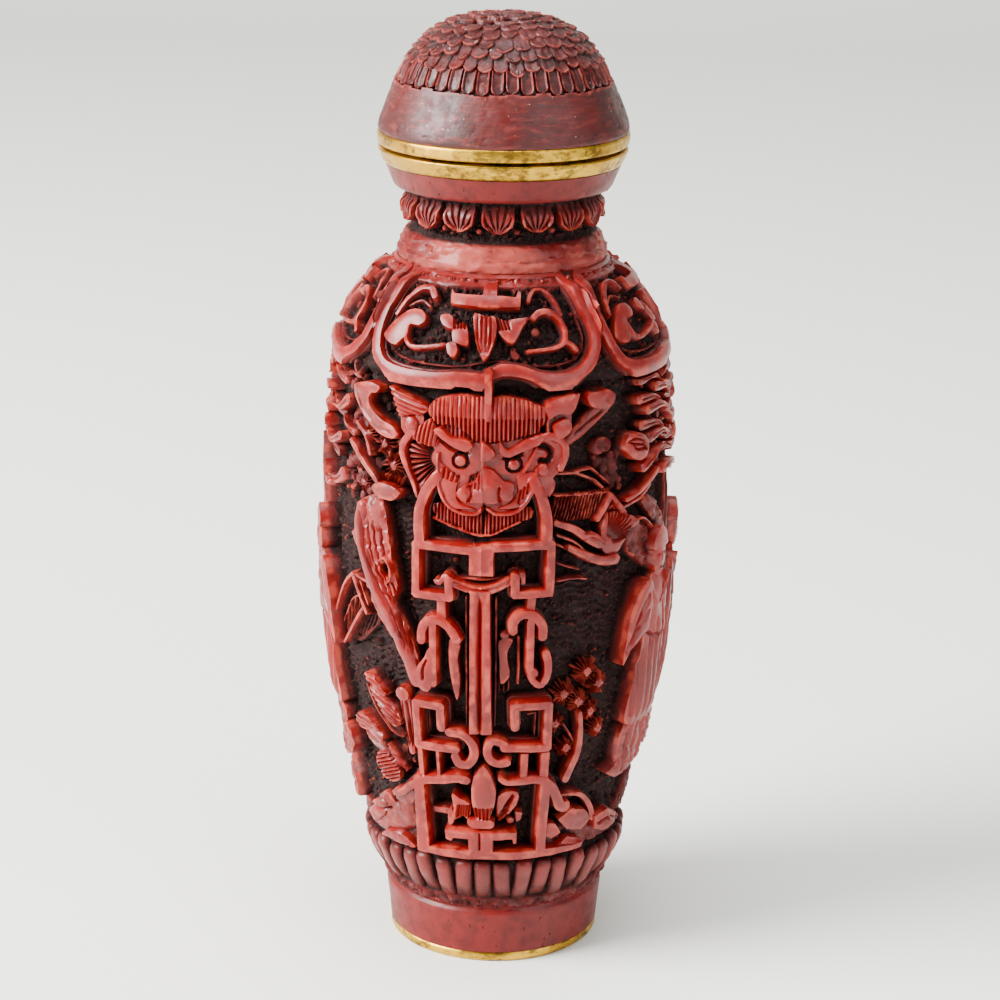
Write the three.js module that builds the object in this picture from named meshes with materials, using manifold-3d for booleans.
// Snuff bottle in carved red lacquer style, with brass fittings and a domed cap.
//
// Units are millimetres, +Z is up and the origin is at the centre of the underside.
// The animal mask faces -Y. Places on the round surface are given as [angle, height]:
// the angle in degrees from -Y towards +X, and the height in millimetres.
//
// The carving is one layer of ribbons and bosses that stand on the ground of the body.
// It is joined into the body, so the moulded bottle is one solid.

import * as THREE from 'three';
import { mergeVertices } from 'three/addons/utils/BufferGeometryUtils.js';
import Module from 'manifold-3d';

const wasm = await Module();
wasm.setup();

// ---------------------------------------------------------------- driving dimensions

const TOTAL_HEIGHT = 80;

const BASE_PLATE = { radius: 9, height: 0.9 };
const FOOT = { bottomRadius: 9.05, topRadius: 9.45, top: 4.7 };
const GADROON = { bottom: 5.6, top: 10.3, count: 40, bottomRadius: 9.95, topRadius: 11.35, relief: 0.55 };
const BODY = { bottom: 10.9, top: 52.2 };
const SHOULDER = { bottom: 52.2, top: 60.1 };
const COLLAR = { bottom: 60.4, top: 62.3, radius: 8.3 };
const NECK = { radius: 7.1, petals: 16, petalReach: 1.75 };
const CUP = { bottom: 66, top: 67.9, bottomRadius: 9, topRadius: 9.75 };
const MOUTH_RING = { top: 69.2, bottomRadius: 9.8, topRadius: 10.3 };
const CAP_RING = { bottom: 69.45, top: 70.5, radius: 10.35, padRadius: 9.5 };

const BORE_RADIUS = 4.5;             // neck and mouth
const SPIGOT = { radius: 4.1, bottom: 66.2 };
const PIN_HOLE_RADIUS = 0.5;
const CAP_PETALS = 24;
const PETAL_TIERS = [[74.75, 75.5, 0.3], [76.2, 76.9, 0.4], [77.4, 77.9, 0.4], [78.4, 78.8, 0.4]];  // [tip, notch, depth]

const CARVING_DEPTH = 1.9;           // body carving above its ground
const PANEL_DEPTH = 1.1;             // shoulder carving above its ground
const EMBED = 0.7;                   // how far a carved form runs into what it stands on
const WIDE_FORM = 15;                // a form that reaches further than this each side, in degrees, is rounded
const DRAFT = 0.12;                  // how much a carved wall leans in, each side
const SEAM_SHIFT = 0.3;              // the right half of the mould sits this much higher

const SEGMENTS = 32;
const HOLLOW_SEGMENTS = 24;
const SURFACE_TOLERANCE = 0.17;      // faces this close to flat are merged
const CAP_TOLERANCE = 0.08;          // the same for the dome, whose pin hole is small
const HALF_TURN = 180;
const FACES = [0, HALF_TURN];                    // the mask and its pendant, front and back
const SHOULDER_PANELS = [0, 90, 180, 270];
const SIDES = [-1, 1];

// Outer surface of the carving, as [height, radius].
const CARVED_PROFILE = [
  [BODY.bottom, 11.75], [14, 12.5], [20, 13.8], [27, 14.85], [33, 15.3],
  [40, 15.3], [46, 14.95], [BODY.top, 14.4], [54, 13.9], [56, 13],
  [58, 11.6], [SHOULDER.top, 9.5],
];

// Outer surface of the cap, from its plain band over the tips of its petals, as [height, radius].
const CAP_PROFILE = [
  [CAP_RING.top, 10.25], [72, 9.9], [73.2, 9.5], [74.6, 8.95], [76, 8.25], [77, 7.6],
  [78, 6.75], [79, 5.3], [79.6, 3.6], [TOTAL_HEIGHT, 1.6],
];

// Inner wall of the hollow, as [height, radius].
const HOLLOW_PROFILE = [
  [4.4, 0], [4.4, 6], [9, 7.5], [16, 9], [24, 10.4], [33, 11.2],
  [42, 11.2], [50, 10.3], [54.5, 8.6], [59.5, BORE_RADIUS],
];

// ---------------------------------------------------------------- materials

function finish(colour, roughness, metalness = 0) {
  return new THREE.MeshStandardMaterial({ color: colour, roughness, metalness });
}

const carvedRed = finish(0xb4423a, 0.5);
const capRed = finish(0x7c2f2e, 0.45);
const brass = finish(0xc9a35a, 0.35, 1);

// ---------------------------------------------------------------- the round surface

/** Radius at a height, straight between the profile's points. */
function radiusOn(profile, height) {
  let [lowHeight, lowRadius] = profile[0];
  for (const [nextHeight, nextRadius] of profile) {
    if (height <= nextHeight) {
      const share = (height - lowHeight) / Math.max(nextHeight - lowHeight, 1e-9);
      return lowRadius + share * (nextRadius - lowRadius);
    }
    [lowHeight, lowRadius] = [nextHeight, nextRadius];
  }
  return lowRadius;
}

/** How far the ground lies below the outer surface of the carving. */
function depthAt(height) {
  return height > SHOULDER.bottom ? PANEL_DEPTH : CARVING_DEPTH;
}

/** The body's wall under the carving: its radius, and the way its surface faces. */
function bodyGround(height) {
  const step = 0.6;
  const rise = radiusOn(CARVED_PROFILE, height + step) - radiusOn(CARVED_PROFILE, height - step);
  const normal = new THREE.Vector2(2 * step, -rise).normalize();
  const radius = radiusOn(CARVED_PROFILE, height);
  return { radius: radius - depthAt(height) * normal.x, height: height - depthAt(height) * normal.y, normal };
}

/** A point above the ground, from its angle, its height and how far it is lifted. */
function placed(angle, height, lift) {
  const { radius, height: groundHeight, normal } = bodyGround(height);
  const reach = radius + lift * normal.x;
  const turn = THREE.MathUtils.degToRad(angle);
  return [reach * Math.sin(turn), -reach * Math.cos(turn), groundHeight + lift * normal.y];
}

/** Degrees of turn that cover one millimetre along the carved surface. */
function degreesPerMillimetre(height) {
  return THREE.MathUtils.radToDeg(1 / bodyGround(height).radius);
}

// ---------------------------------------------------------------- solids

function solidFrom(vertices, triangles) {
  const mesh = new wasm.Mesh({
    numProp: 3,
    vertProperties: new Float32Array(vertices.flat()),
    triVerts: new Uint32Array(triangles.flat()),
  });
  return new wasm.Manifold(mesh);
}

/** The solid with its faces pointing out, whichever way its outline was given. */
function outward(vertices, triangles) {
  const solid = solidFrom(vertices, triangles);
  return solid.volume() > 0 ? solid : solidFrom(vertices, triangles.map(([a, b, c]) => [a, c, b]));
}

function solidOf(geometry) {
  geometry.deleteAttribute('normal');
  geometry.deleteAttribute('uv');
  const merged = mergeVertices(geometry, 1e-4);
  const mesh = new wasm.Mesh({
    numProp: 3,
    vertProperties: new Float32Array(merged.attributes.position.array),
    triVerts: new Uint32Array(merged.index.array),
  });
  return new wasm.Manifold(mesh);
}

/** A turned solid from [radius, height] points that run up the outside. */
function turned(outline, segments = SEGMENTS) {
  const points = outline.map(([radius, height]) => new THREE.Vector2(radius, height));
  const geometry = new THREE.LatheGeometry(points, segments);
  geometry.rotateX(Math.PI / 2);
  return solidOf(geometry);
}

function joined(solids) {
  return wasm.Manifold.union(solids);
}

function repeatedAround(solid, angles) {
  return angles.map((angle) => solid.rotate([0, 0, angle]));
}

function evenAngles(count, first = 0) {
  return Array.from({ length: count }, (_, index) => first + (index * 360) / count);
}

/** A ribbon that follows [angle, height] points; width may be one size or [start, end]. */
function ribbon(path, width, lift) {
  const [startWidth, endWidth] = Array.isArray(width) ? width : [width, width];
  const perMillimetre = degreesPerMillimetre(path[0][1]);
  const flat = path.map(([angle, height]) => new THREE.Vector2(angle / perMillimetre, height));
  const vertices = [];
  flat.forEach((point, index) => {
    const before = flat[Math.max(index - 1, 0)];
    const after = flat[Math.min(index + 1, flat.length - 1)];
    const arriving = index ? point.clone().sub(before).normalize() : after.clone().sub(point).normalize();
    const leaving = index < flat.length - 1 ? after.clone().sub(point).normalize() : arriving;
    const along = arriving.clone().add(leaving).normalize();
    const mitre = 1 / Math.max(along.dot(arriving), 0.6);
    const across = new THREE.Vector2(-along.y, along.x);
    const half = (0.5 * (startWidth + (endWidth - startWidth) * index / (flat.length - 1))) * mitre;
    for (const [side, up] of [[-half, -EMBED], [half, -EMBED], [half - DRAFT, lift], [DRAFT - half, lift]]) {
      const corner = point.clone().addScaledVector(across, side);
      vertices.push(placed(corner.x * perMillimetre, corner.y, up));
    }
  });
  const triangles = [[0, 1, 2], [0, 2, 3]];
  const last = 4 * (flat.length - 1);
  triangles.push([last, last + 2, last + 1], [last, last + 3, last + 2]);
  for (let near = 0; near < last; near += 4) {
    for (let side = 0; side < 4; side += 1) {
      const next = (side + 1) % 4;
      triangles.push([near + side, near + 4 + side, near + next]);
      triangles.push([near + next, near + 4 + side, near + 4 + next]);
    }
  }
  return outward(vertices, triangles);
}

/** A raised form with an [angle, height] outline; its middle stands a crown higher. */
function boss(outline, lift, crown = 0) {
  const count = outline.length;
  const middle = outline.reduce((sum, [a, h]) => [sum[0] + a / count, sum[1] + h / count], [0, 0]);
  const shrunk = (share) => outline.map(([a, h]) => [
    middle[0] + share * (a - middle[0]), middle[1] + share * (h - middle[1]),
  ]);
  const span = Math.max(...outline.map(([angle]) => Math.abs(angle - middle[0])));
  const levels = [[outline, -EMBED], [outline, lift]];
  if (span > WIDE_FORM) {
    levels.push([shrunk(0.5), lift + 0.8 * crown]);
  }
  const vertices = levels.flatMap(([points, up]) => points.map(([angle, height]) => placed(angle, height, up)));
  const triangles = [];
  for (let level = 1; level < levels.length; level += 1) {
    const [lower, upper] = [(level - 1) * count, level * count];
    for (let index = 0; index < count; index += 1) {
      const next = (index + 1) % count;
      triangles.push([lower + index, lower + next, upper + next], [lower + index, upper + next, upper + index]);
    }
  }
  const [under, over] = [vertices.length, vertices.length + 1];
  vertices.push(placed(middle[0], middle[1], -EMBED), placed(middle[0], middle[1], lift + crown));
  const rim = (levels.length - 1) * count;
  for (let index = 0; index < count; index += 1) {
    const next = (index + 1) % count;
    triangles.push([rim + index, rim + next, over], [next, index, under]);
  }
  return outward(vertices, triangles);
}

/** A round button on the surface. */
function button(angle, height, radius, lift, sides = 5) {
  const wide = degreesPerMillimetre(height) * radius;
  const outline = evenAngles(sides).map((turn) => {
    const around = THREE.MathUtils.degToRad(turn);
    return [angle + wide * Math.cos(around), height + radius * Math.sin(around)];
  });
  return boss(outline, lift - 0.3, 0.3);
}

/** A closed ring from its upright slices; each slice holds the same number of points. */
function ring(slices) {
  const size = slices[0].length;
  const triangles = [];
  slices.forEach((_, index) => {
    const here = index * size;
    const beyond = ((index + 1) % slices.length) * size;
    for (let corner = 0; corner < size; corner += 1) {
      const next = (corner + 1) % size;
      triangles.push([here + corner, beyond + corner, beyond + next]);
      triangles.push([here + corner, beyond + next, here + next]);
    }
  });
  return outward(slices.flat(), triangles);
}

/** A ring of equal lobes; slice(place) gives the points of the slice at each place in a lobe. */
function lobedRing(count, places, slice) {
  const slices = evenAngles(count).flatMap((angle) => places.map((place) => {
    const turn = THREE.MathUtils.degToRad(angle + (place * 360) / count);
    return slice(place).map(([radius, height]) => [radius * Math.sin(turn), -radius * Math.cos(turn), height]);
  }));
  return ring(slices);
}

function block(left, right, bottom, top, lift) {
  return boss([[left, bottom], [right, bottom], [right, top], [left, top]], lift);
}

/** The same points on one side of the seam: the right half sits a little higher. */
function onSide(side, points) {
  const rise = side > 0 ? SEAM_SHIFT : 0;
  return points.map(([angle, height]) => [side * angle, height + rise]);
}

// ---------------------------------------------------------------- carving of the body

const FULL = CARVING_DEPTH;
const LOW = 0.55 * CARVING_DEPTH;
const BAR = 0.85;

/** Animal mask with a ring in its jaw. */
function mask() {
  const forms = [
    boss([
      [-22, 49.4], [-16, 44.4], [-12, 42.4], [12, 42.6], [16, 44.6], [22, 49.6],
      [31.5, 51.8], [20, 51], [0, 51.7], [-20, 50.9], [-31.5, 51.6],
    ], FULL - 0.4, 0.3),
    boss([[0, 46.2], [7, 43.8], [3, 42.9], [-3, 42.9], [-7, 43.8]], FULL, 0.45),
    boss([[-16.5, 42], [0, 40.1], [16.5, 42.2], [0, 42.6]], FULL - 0.3, 0.1),
  ];
  for (const side of SIDES) {
    forms.push(
      boss(onSide(side, [[3.4, 47.6], [11, 48.8], [17, 48.3], [9, 47]]), FULL + 0.1, 0.1),
      ribbon(onSide(side, [[18, 48.2], [26, 47.6], [26.5, 45.6], [22, 43.8]]), 1.5, FULL - 0.2),
      ribbon(onSide(side, [[15.5, 44.6], [20.4, 42.8], [20.2, 39.4]]), 0.95, FULL),
      button(...onSide(side, [[25.5, 49.2]])[0], 0.8, FULL),
      button(...onSide(side, [[8.5, 46]])[0], 0.55, FULL + 0.1),
    );
  }
  return forms;
}

/** Hanging frame of square scrolls, crooks and a lotus under the mask. */
function pendant() {
  const forms = [
    block(-4, 4, 36.9, 39.5, FULL),
    block(-3.6, 3.6, 23.1, 35.9, FULL),
    boss([[0, 20.1], [4.4, 17.6], [3, 15.2], [-3, 15.2], [-4.4, 17.6]], FULL - 0.2, 0.3),
    block(-14, 14, 13.1, 13.9, FULL - 0.2),
    block(-5, 5, 11.2, 14.8, FULL - 0.4),
    ribbon([[-27, 11.3], [-14, 11.3], [0, 11.3], [14, 11.3], [27, 11.3]], BAR, FULL),
  ];
  for (const side of SIDES) {
    forms.push(
      ribbon(onSide(side, [[3, 39.2], [21, 39.2], [21, 35.2], [10, 35.2], [10, 36.9]]), BAR, FULL),
      ribbon(onSide(side, [[8.6, 31.5], [11, 33.2], [17, 33.1], [19.2, 31.5]]), BAR, FULL),
      ribbon(onSide(side, [[14.6, 33], [15.2, 28.2], [18.6, 27.4], [21, 29.6]]), BAR, FULL),
      ribbon(onSide(side, [[12.6, 33.2], [12.6, 35.2]]), BAR, FULL - 0.2),
      ribbon(onSide(side, [[13, 23.3], [13, 25.5], [22.2, 25.5], [22.2, 21.7], [8, 21.7]]), BAR, FULL),
      ribbon(onSide(side, [[9.6, 23.2], [3.4, 22.7], [3.2, 20.8], [8.6, 20.5]]), BAR, FULL),
      ribbon(onSide(side, [[22.4, 21.4], [22.6, 18.6], [24.6, 11.3]]), 0.95, FULL),
      ribbon(onSide(side, [[5, 18.9], [16, 19], [24, 18.4], [34, 16.1]]), BAR, FULL),
      boss(onSide(side, [[4, 15.4], [8, 17.8], [14, 17.2], [10, 15]]), FULL - 0.5, 0.2),
    );
  }
  return forms;
}

/** Pine, curl, rocks and a robed figure to the left of the mask. */
function leftLandscape() {
  return [
    ribbon([[-37, 51.2], [-48, 50.9], [-44, 48.6], [-29, 47.2]], 1.1, FULL),
    ribbon([[-44, 41.5], [-41, 37.4], [-32, 33.2], [-23.6, 29]], [2.7, 1.7], FULL),
    ribbon([[-51, 45.8], [-44, 44.4], [-30, 42.7]], 1, FULL - 0.2),
    boss([[-51, 43.4], [-41, 43.2], [-43, 40.8], [-52, 41.4]], LOW, 0.3),
    boss([[-73, 48.4], [-62, 50.4], [-54, 48.4], [-64, 46.6]], FULL - 0.4, 0.3),
    boss([[-76, 43.2], [-66, 44.8], [-57, 42.8], [-66, 41.4]], FULL - 0.4, 0.3),
    ribbon([[-57, 31.4], [-48.5, 34.9], [-40, 32.4]], 0.7, LOW),
    boss([[-46, 25.6], [-42, 26.9], [-32, 23.2], [-36, 22.2]], FULL - 0.5, 0.2),
    boss([[-54, 21.8], [-48, 22.6], [-37, 20.4], [-46, 19.4]], FULL - 0.3, 0.3),
    boss([[-46, 18.6], [-40, 19.8], [-33, 18], [-42, 17]], FULL - 0.6, 0.2),
    ribbon([[-28, 26.4], [-27, 19.5]], [1.4, 0.9], FULL - 0.4),
    boss([[-60, 12.8], [-48, 15.4], [-28, 15.9], [-34, 12.8]], FULL - 0.5, 0.3),
    ...robedFigure(-79, -1),
  ];
}

/** Tall pine between the two robed figures of one side, its foliage and the rocks at its foot. */
function sidePine(angle, trunkLift) {
  const at = (points) => points.map(([across, height]) => [angle + across, height]);
  return [
    ribbon(at([[0, 20], [3, 28], [-1, 36], [3, 43]]), [2.2, 1.3], trunkLift),
    ribbon(at([[2, 40], [10, 44.5]]), 1, trunkLift - 0.1),
    boss(at([[5, 46], [15, 47], [16, 45.2], [8, 44]]), FULL - 0.2, 0.2),
    boss(at([[-10, 45.4], [0, 47], [6, 44.6], [-2, 43]]), FULL - 0.3, 0.3),
    boss(at([[-6, 50.6], [4, 51.6], [11, 50], [3, 48.6]]), FULL - 0.4, 0.3),
    boss(at([[-14, 12.6], [-2, 15.8], [12, 14.6], [14, 12.2]]), trunkLift - 0.3, 0.2),
    boss(at([[-6, 18.8], [2, 20.4], [8, 18.2], [0, 17]]), trunkLift - 0.4, 0.2),
  ];
}

/** Pavilion, swirling water, a small pine, rocks and a robed figure to the right of the mask. */
function rightLandscape() {
  return [
    boss([[33, 51.4], [44, 51.8], [46, 50.4], [36, 49.8]], FULL - 0.1, 0.2),
    ribbon([[41, 50.4], [27.5, 47.8]], 1, LOW + 0.2),
    button(56, 46.2, 1.25, FULL - 0.2),
    boss([[60, 49.4], [70, 50.4], [74, 48], [66, 46.8]], FULL - 0.3, 0.3),
    boss([[62, 45.2], [72, 46], [76, 44.2], [66, 43.4]], FULL - 0.4, 0.3),
    boss([[26, 43.4], [42, 43.2], [36, 40.8], [25, 41]], LOW, 0.1),
    ribbon([[37, 40.6], [44, 42.8], [50, 40.8]], 0.8, FULL - 0.5),
    ribbon([[50, 41.8], [67, 43.4]], 0.9, FULL - 0.5),
    ribbon([[25, 40.2], [34, 39], [45, 37.7]], [0.7, 1.4], FULL - 0.3),
    boss([[48, 39.4], [56, 41], [71, 35.4], [56, 36]], FULL - 0.5, 0.2),
    boss([[62, 41.4], [70, 41.2], [79, 38.4], [70, 37.6]], FULL - 0.2, 0.2),
    ribbon([[35.5, 24.6], [35.6, 21.4], [32, 18.6]], [0.8, 1.3], FULL - 0.6),
    boss([[30, 25.8], [36, 28], [42, 25.9], [37.4, 24.3]], LOW, 0.2),
    boss([[28, 14.8], [40, 16.4], [49, 13.8], [38, 12.8]], FULL - 0.5, 0.2),
    boss([[48, 13.4], [58, 14.5], [66, 12.4], [56, 11.6]], FULL - 0.3, 0.2),
    ...robedFigure(68, 1),
  ];
}

/** A standing figure in a long robe; facing is -1 towards smaller angles, 1 towards larger ones. */
function robedFigure(angle, facing) {
  const across = (points) => points.map(([offset, height]) => [angle - facing * offset, height]);
  return [
    boss(across([[7, 34.4], [12, 22.2], [-11, 22.2], [-11, 32], [-5, 35]]), FULL - 0.4, 0.4),
    ribbon(across([[6, 33], [14, 31.6], [21, 28.4]]), [1.8, 2.6], FULL - 0.2),
    boss(across([[14, 21.6], [-8, 21.6], [-9, 18], [20, 17.4]]), FULL - 0.6, 0.3),
    button(...across([[0, 36.6]])[0], 1.7, FULL - 0.1),
  ];
}

// ---------------------------------------------------------------- carving of the shoulder and bands

/** One shoulder panel: a rounded frame with a lotus bud between scrolls. */
function shoulderPanel() {
  const forms = [
    ribbon([[-36, 59.5], [-18, 59.7], [0, 59.7], [18, 59.7], [36, 59.5]], 0.8, PANEL_DEPTH),
    ribbon([[-36, 52.9], [-24, 52.6], [-8, 52.6], [8, 52.6], [24, 52.6], [36, 52.9]], 0.85, PANEL_DEPTH),
    ribbon([[-12, 57.8], [12, 57.8]], 0.7, PANEL_DEPTH - 0.2),
    boss([[0, 57.4], [4.4, 55.8], [0, 53.7], [-4.4, 55.8]], PANEL_DEPTH - 0.1, 0.2),
  ];
  for (const side of SIDES) {
    const mirrored = (points) => points.map(([angle, height]) => [side * angle, height]);
    forms.push(
      ribbon(mirrored([[35.4, 52.8], [41, 54.8], [36, 59.6]]), 0.85, PANEL_DEPTH),
      boss(mirrored([[3.6, 55.2], [13, 57], [10, 55]]), PANEL_DEPTH - 0.3, 0.1),
      ribbon(mirrored([[18, 57.3], [28, 57], [28, 54.9], [14, 54.5]]), 0.7, PANEL_DEPTH - 0.1),
    );
  }
  return joined(forms);
}

/** Rounded lappets that stand side by side above the foot. */
function gadroons() {
  const { bottom, top, count, bottomRadius, topRadius, relief } = GADROON;
  return lobedRing(count, [0, 0.22, 0.78], (place) => {
    const drop = place === 0 ? relief : 0;
    return [
      [bottomRadius - relief - EMBED, bottom + 0.6], [bottomRadius - drop, bottom],
      [topRadius - drop, top - drop], [topRadius - relief - EMBED, top - 0.6],
    ];
  });
}

/** Hanging petals under the cup of the neck. */
function neckPetals() {
  const high = CUP.bottom + 0.3;
  const { radius, petals, petalReach } = NECK;
  const drops = { 0: 1.1, 0.25: 2.7, 0.75: 2.7 };
  return lobedRing(petals, Object.keys(drops).map(Number), (place) => {
    const low = high - drops[place];
    const reach = place === 0 ? 0.5 * petalReach : petalReach;
    return [[radius - EMBED, high], [radius + reach, high], [radius + 0.6 * reach, low], [radius - EMBED, low]];
  });
}

// ---------------------------------------------------------------- the moulded bottle

/** Everything inside the outer surface, from the foot to the cup, before it is hollowed. */
function bottleCore() {
  const { bottom, top, bottomRadius, topRadius, relief } = GADROON;
  const outline = [
    [0, BASE_PLATE.height], [FOOT.bottomRadius, BASE_PLATE.height], [FOOT.topRadius, FOOT.top],
    [bottomRadius - relief - 0.3, FOOT.top + 0.15], [bottomRadius - relief - 0.2, bottom + 0.3],
    [topRadius - relief - 0.3, top - 0.3], [topRadius - relief - 0.6, BODY.bottom - 0.1],
  ];
  for (const [height] of CARVED_PROFILE) {
    const ground = bodyGround(height);
    outline.push([ground.radius, ground.height]);
  }
  outline.push(
    [COLLAR.radius, COLLAR.bottom], [COLLAR.radius - 0.1, COLLAR.top],
    [NECK.radius, COLLAR.top + 0.2], [NECK.radius + 0.4, CUP.bottom],
    [CUP.bottomRadius, CUP.bottom], [CUP.topRadius, CUP.top], [0, CUP.top],
  );
  return turned(outline);
}

function bottleHollow() {
  const outline = HOLLOW_PROFILE.map(([height, radius]) => [radius, height]);
  outline.push([BORE_RADIUS, CUP.top + 1], [0, CUP.top + 1]);
  return turned(outline, HOLLOW_SEGMENTS);
}

function moulded() {
  const front = joined([...mask(), ...pendant(), ...leftLandscape(), ...rightLandscape()]);
  return joined([
    bottleCore(),
    ...repeatedAround(front, FACES),
    ...sidePine(-94, FULL - 0.1),
    ...sidePine(86, LOW + 0.1),
    ...repeatedAround(shoulderPanel(), SHOULDER_PANELS),
    gadroons(),
    neckPetals(),
  ]).subtract(bottleHollow());
}

// ---------------------------------------------------------------- fittings and cap

function basePlate() {
  const { radius, height } = BASE_PLATE;
  return turned([[0, 0], [radius - 0.1, 0], [radius, height], [0, height]]);
}

function mouthRing() {
  const { top, bottomRadius, topRadius } = MOUTH_RING;
  return turned([
    [BORE_RADIUS, CUP.top], [bottomRadius, CUP.top], [topRadius, top], [BORE_RADIUS, top], [BORE_RADIUS, CUP.top],
  ]);
}

/** The cap's brass rim, with the pad that rests on the mouth and the spigot that centres it. */
function capRing() {
  const { bottom, top, radius, padRadius } = CAP_RING;
  return turned([
    [0, SPIGOT.bottom], [SPIGOT.radius, SPIGOT.bottom], [SPIGOT.radius, MOUTH_RING.top],
    [padRadius, MOUTH_RING.top], [padRadius, bottom], [radius, bottom], [radius - 0.1, top], [0, top],
  ]);
}

/** The two outline points at the lower edge of one tier of petals, at a tip or at a notch. */
function petalEdge([tip, notch, depth], isTip) {
  const low = isTip ? tip : notch;
  const outer = radiusOn(CAP_PROFILE, low);
  return [[outer - depth, low - 0.05], [outer - (isTip ? 0 : 0.5 * depth), low + 0.1]];
}

/** Plain band and petalled crown, turned round the pin hole; each tier is half a petal off the last. */
function capDome() {
  return lobedRing(CAP_PETALS, [0, 0.5], (place) => {
    const tiers = PETAL_TIERS.flatMap((tier, index) => petalEdge(tier, (index % 2 === 0) === (place === 0)));
    const band = CAP_PROFILE.slice(0, 4).map(([height, radius]) => [radius, height]);
    const [crownTop, crownTopRadius] = CAP_PROFILE.at(-1);
    return [
      [PIN_HOLE_RADIUS, CAP_RING.top], ...band, ...tiers,
      [crownTopRadius, crownTop], [PIN_HOLE_RADIUS, crownTop - 0.2],
    ];
  });
}

// ---------------------------------------------------------------- scene graph

/** The same solid with nearly flat faces merged; the second pass merges what the first one frees. */
function simplified(solid, tolerance) {
  return solid.asOriginal().simplify(tolerance).asOriginal().simplify(tolerance);
}

function meshOf(solid, material, name, tolerance = SURFACE_TOLERANCE) {
  const { vertProperties, triVerts } = simplified(solid, tolerance).getMesh();
  const geometry = new THREE.BufferGeometry();
  geometry.setAttribute('position', new THREE.BufferAttribute(vertProperties, 3));
  geometry.setIndex(new THREE.BufferAttribute(triVerts, 1));
  geometry.computeVertexNormals();
  const mesh = new THREE.Mesh(geometry, material);
  mesh.name = name;
  return mesh;
}

const bottle = new THREE.Group();
bottle.add(
  meshOf(moulded(), carvedRed, 'bottle_body'),
  meshOf(basePlate(), brass, 'base_plate'),
  meshOf(mouthRing(), brass, 'mouth_ring'),
);

const cap = new THREE.Group();
cap.add(
  meshOf(capRing(), brass, 'cap_ring'),
  meshOf(capDome(), capRed, 'cap_dome', CAP_TOLERANCE),
);
bottle.add(cap);

export default bottle;
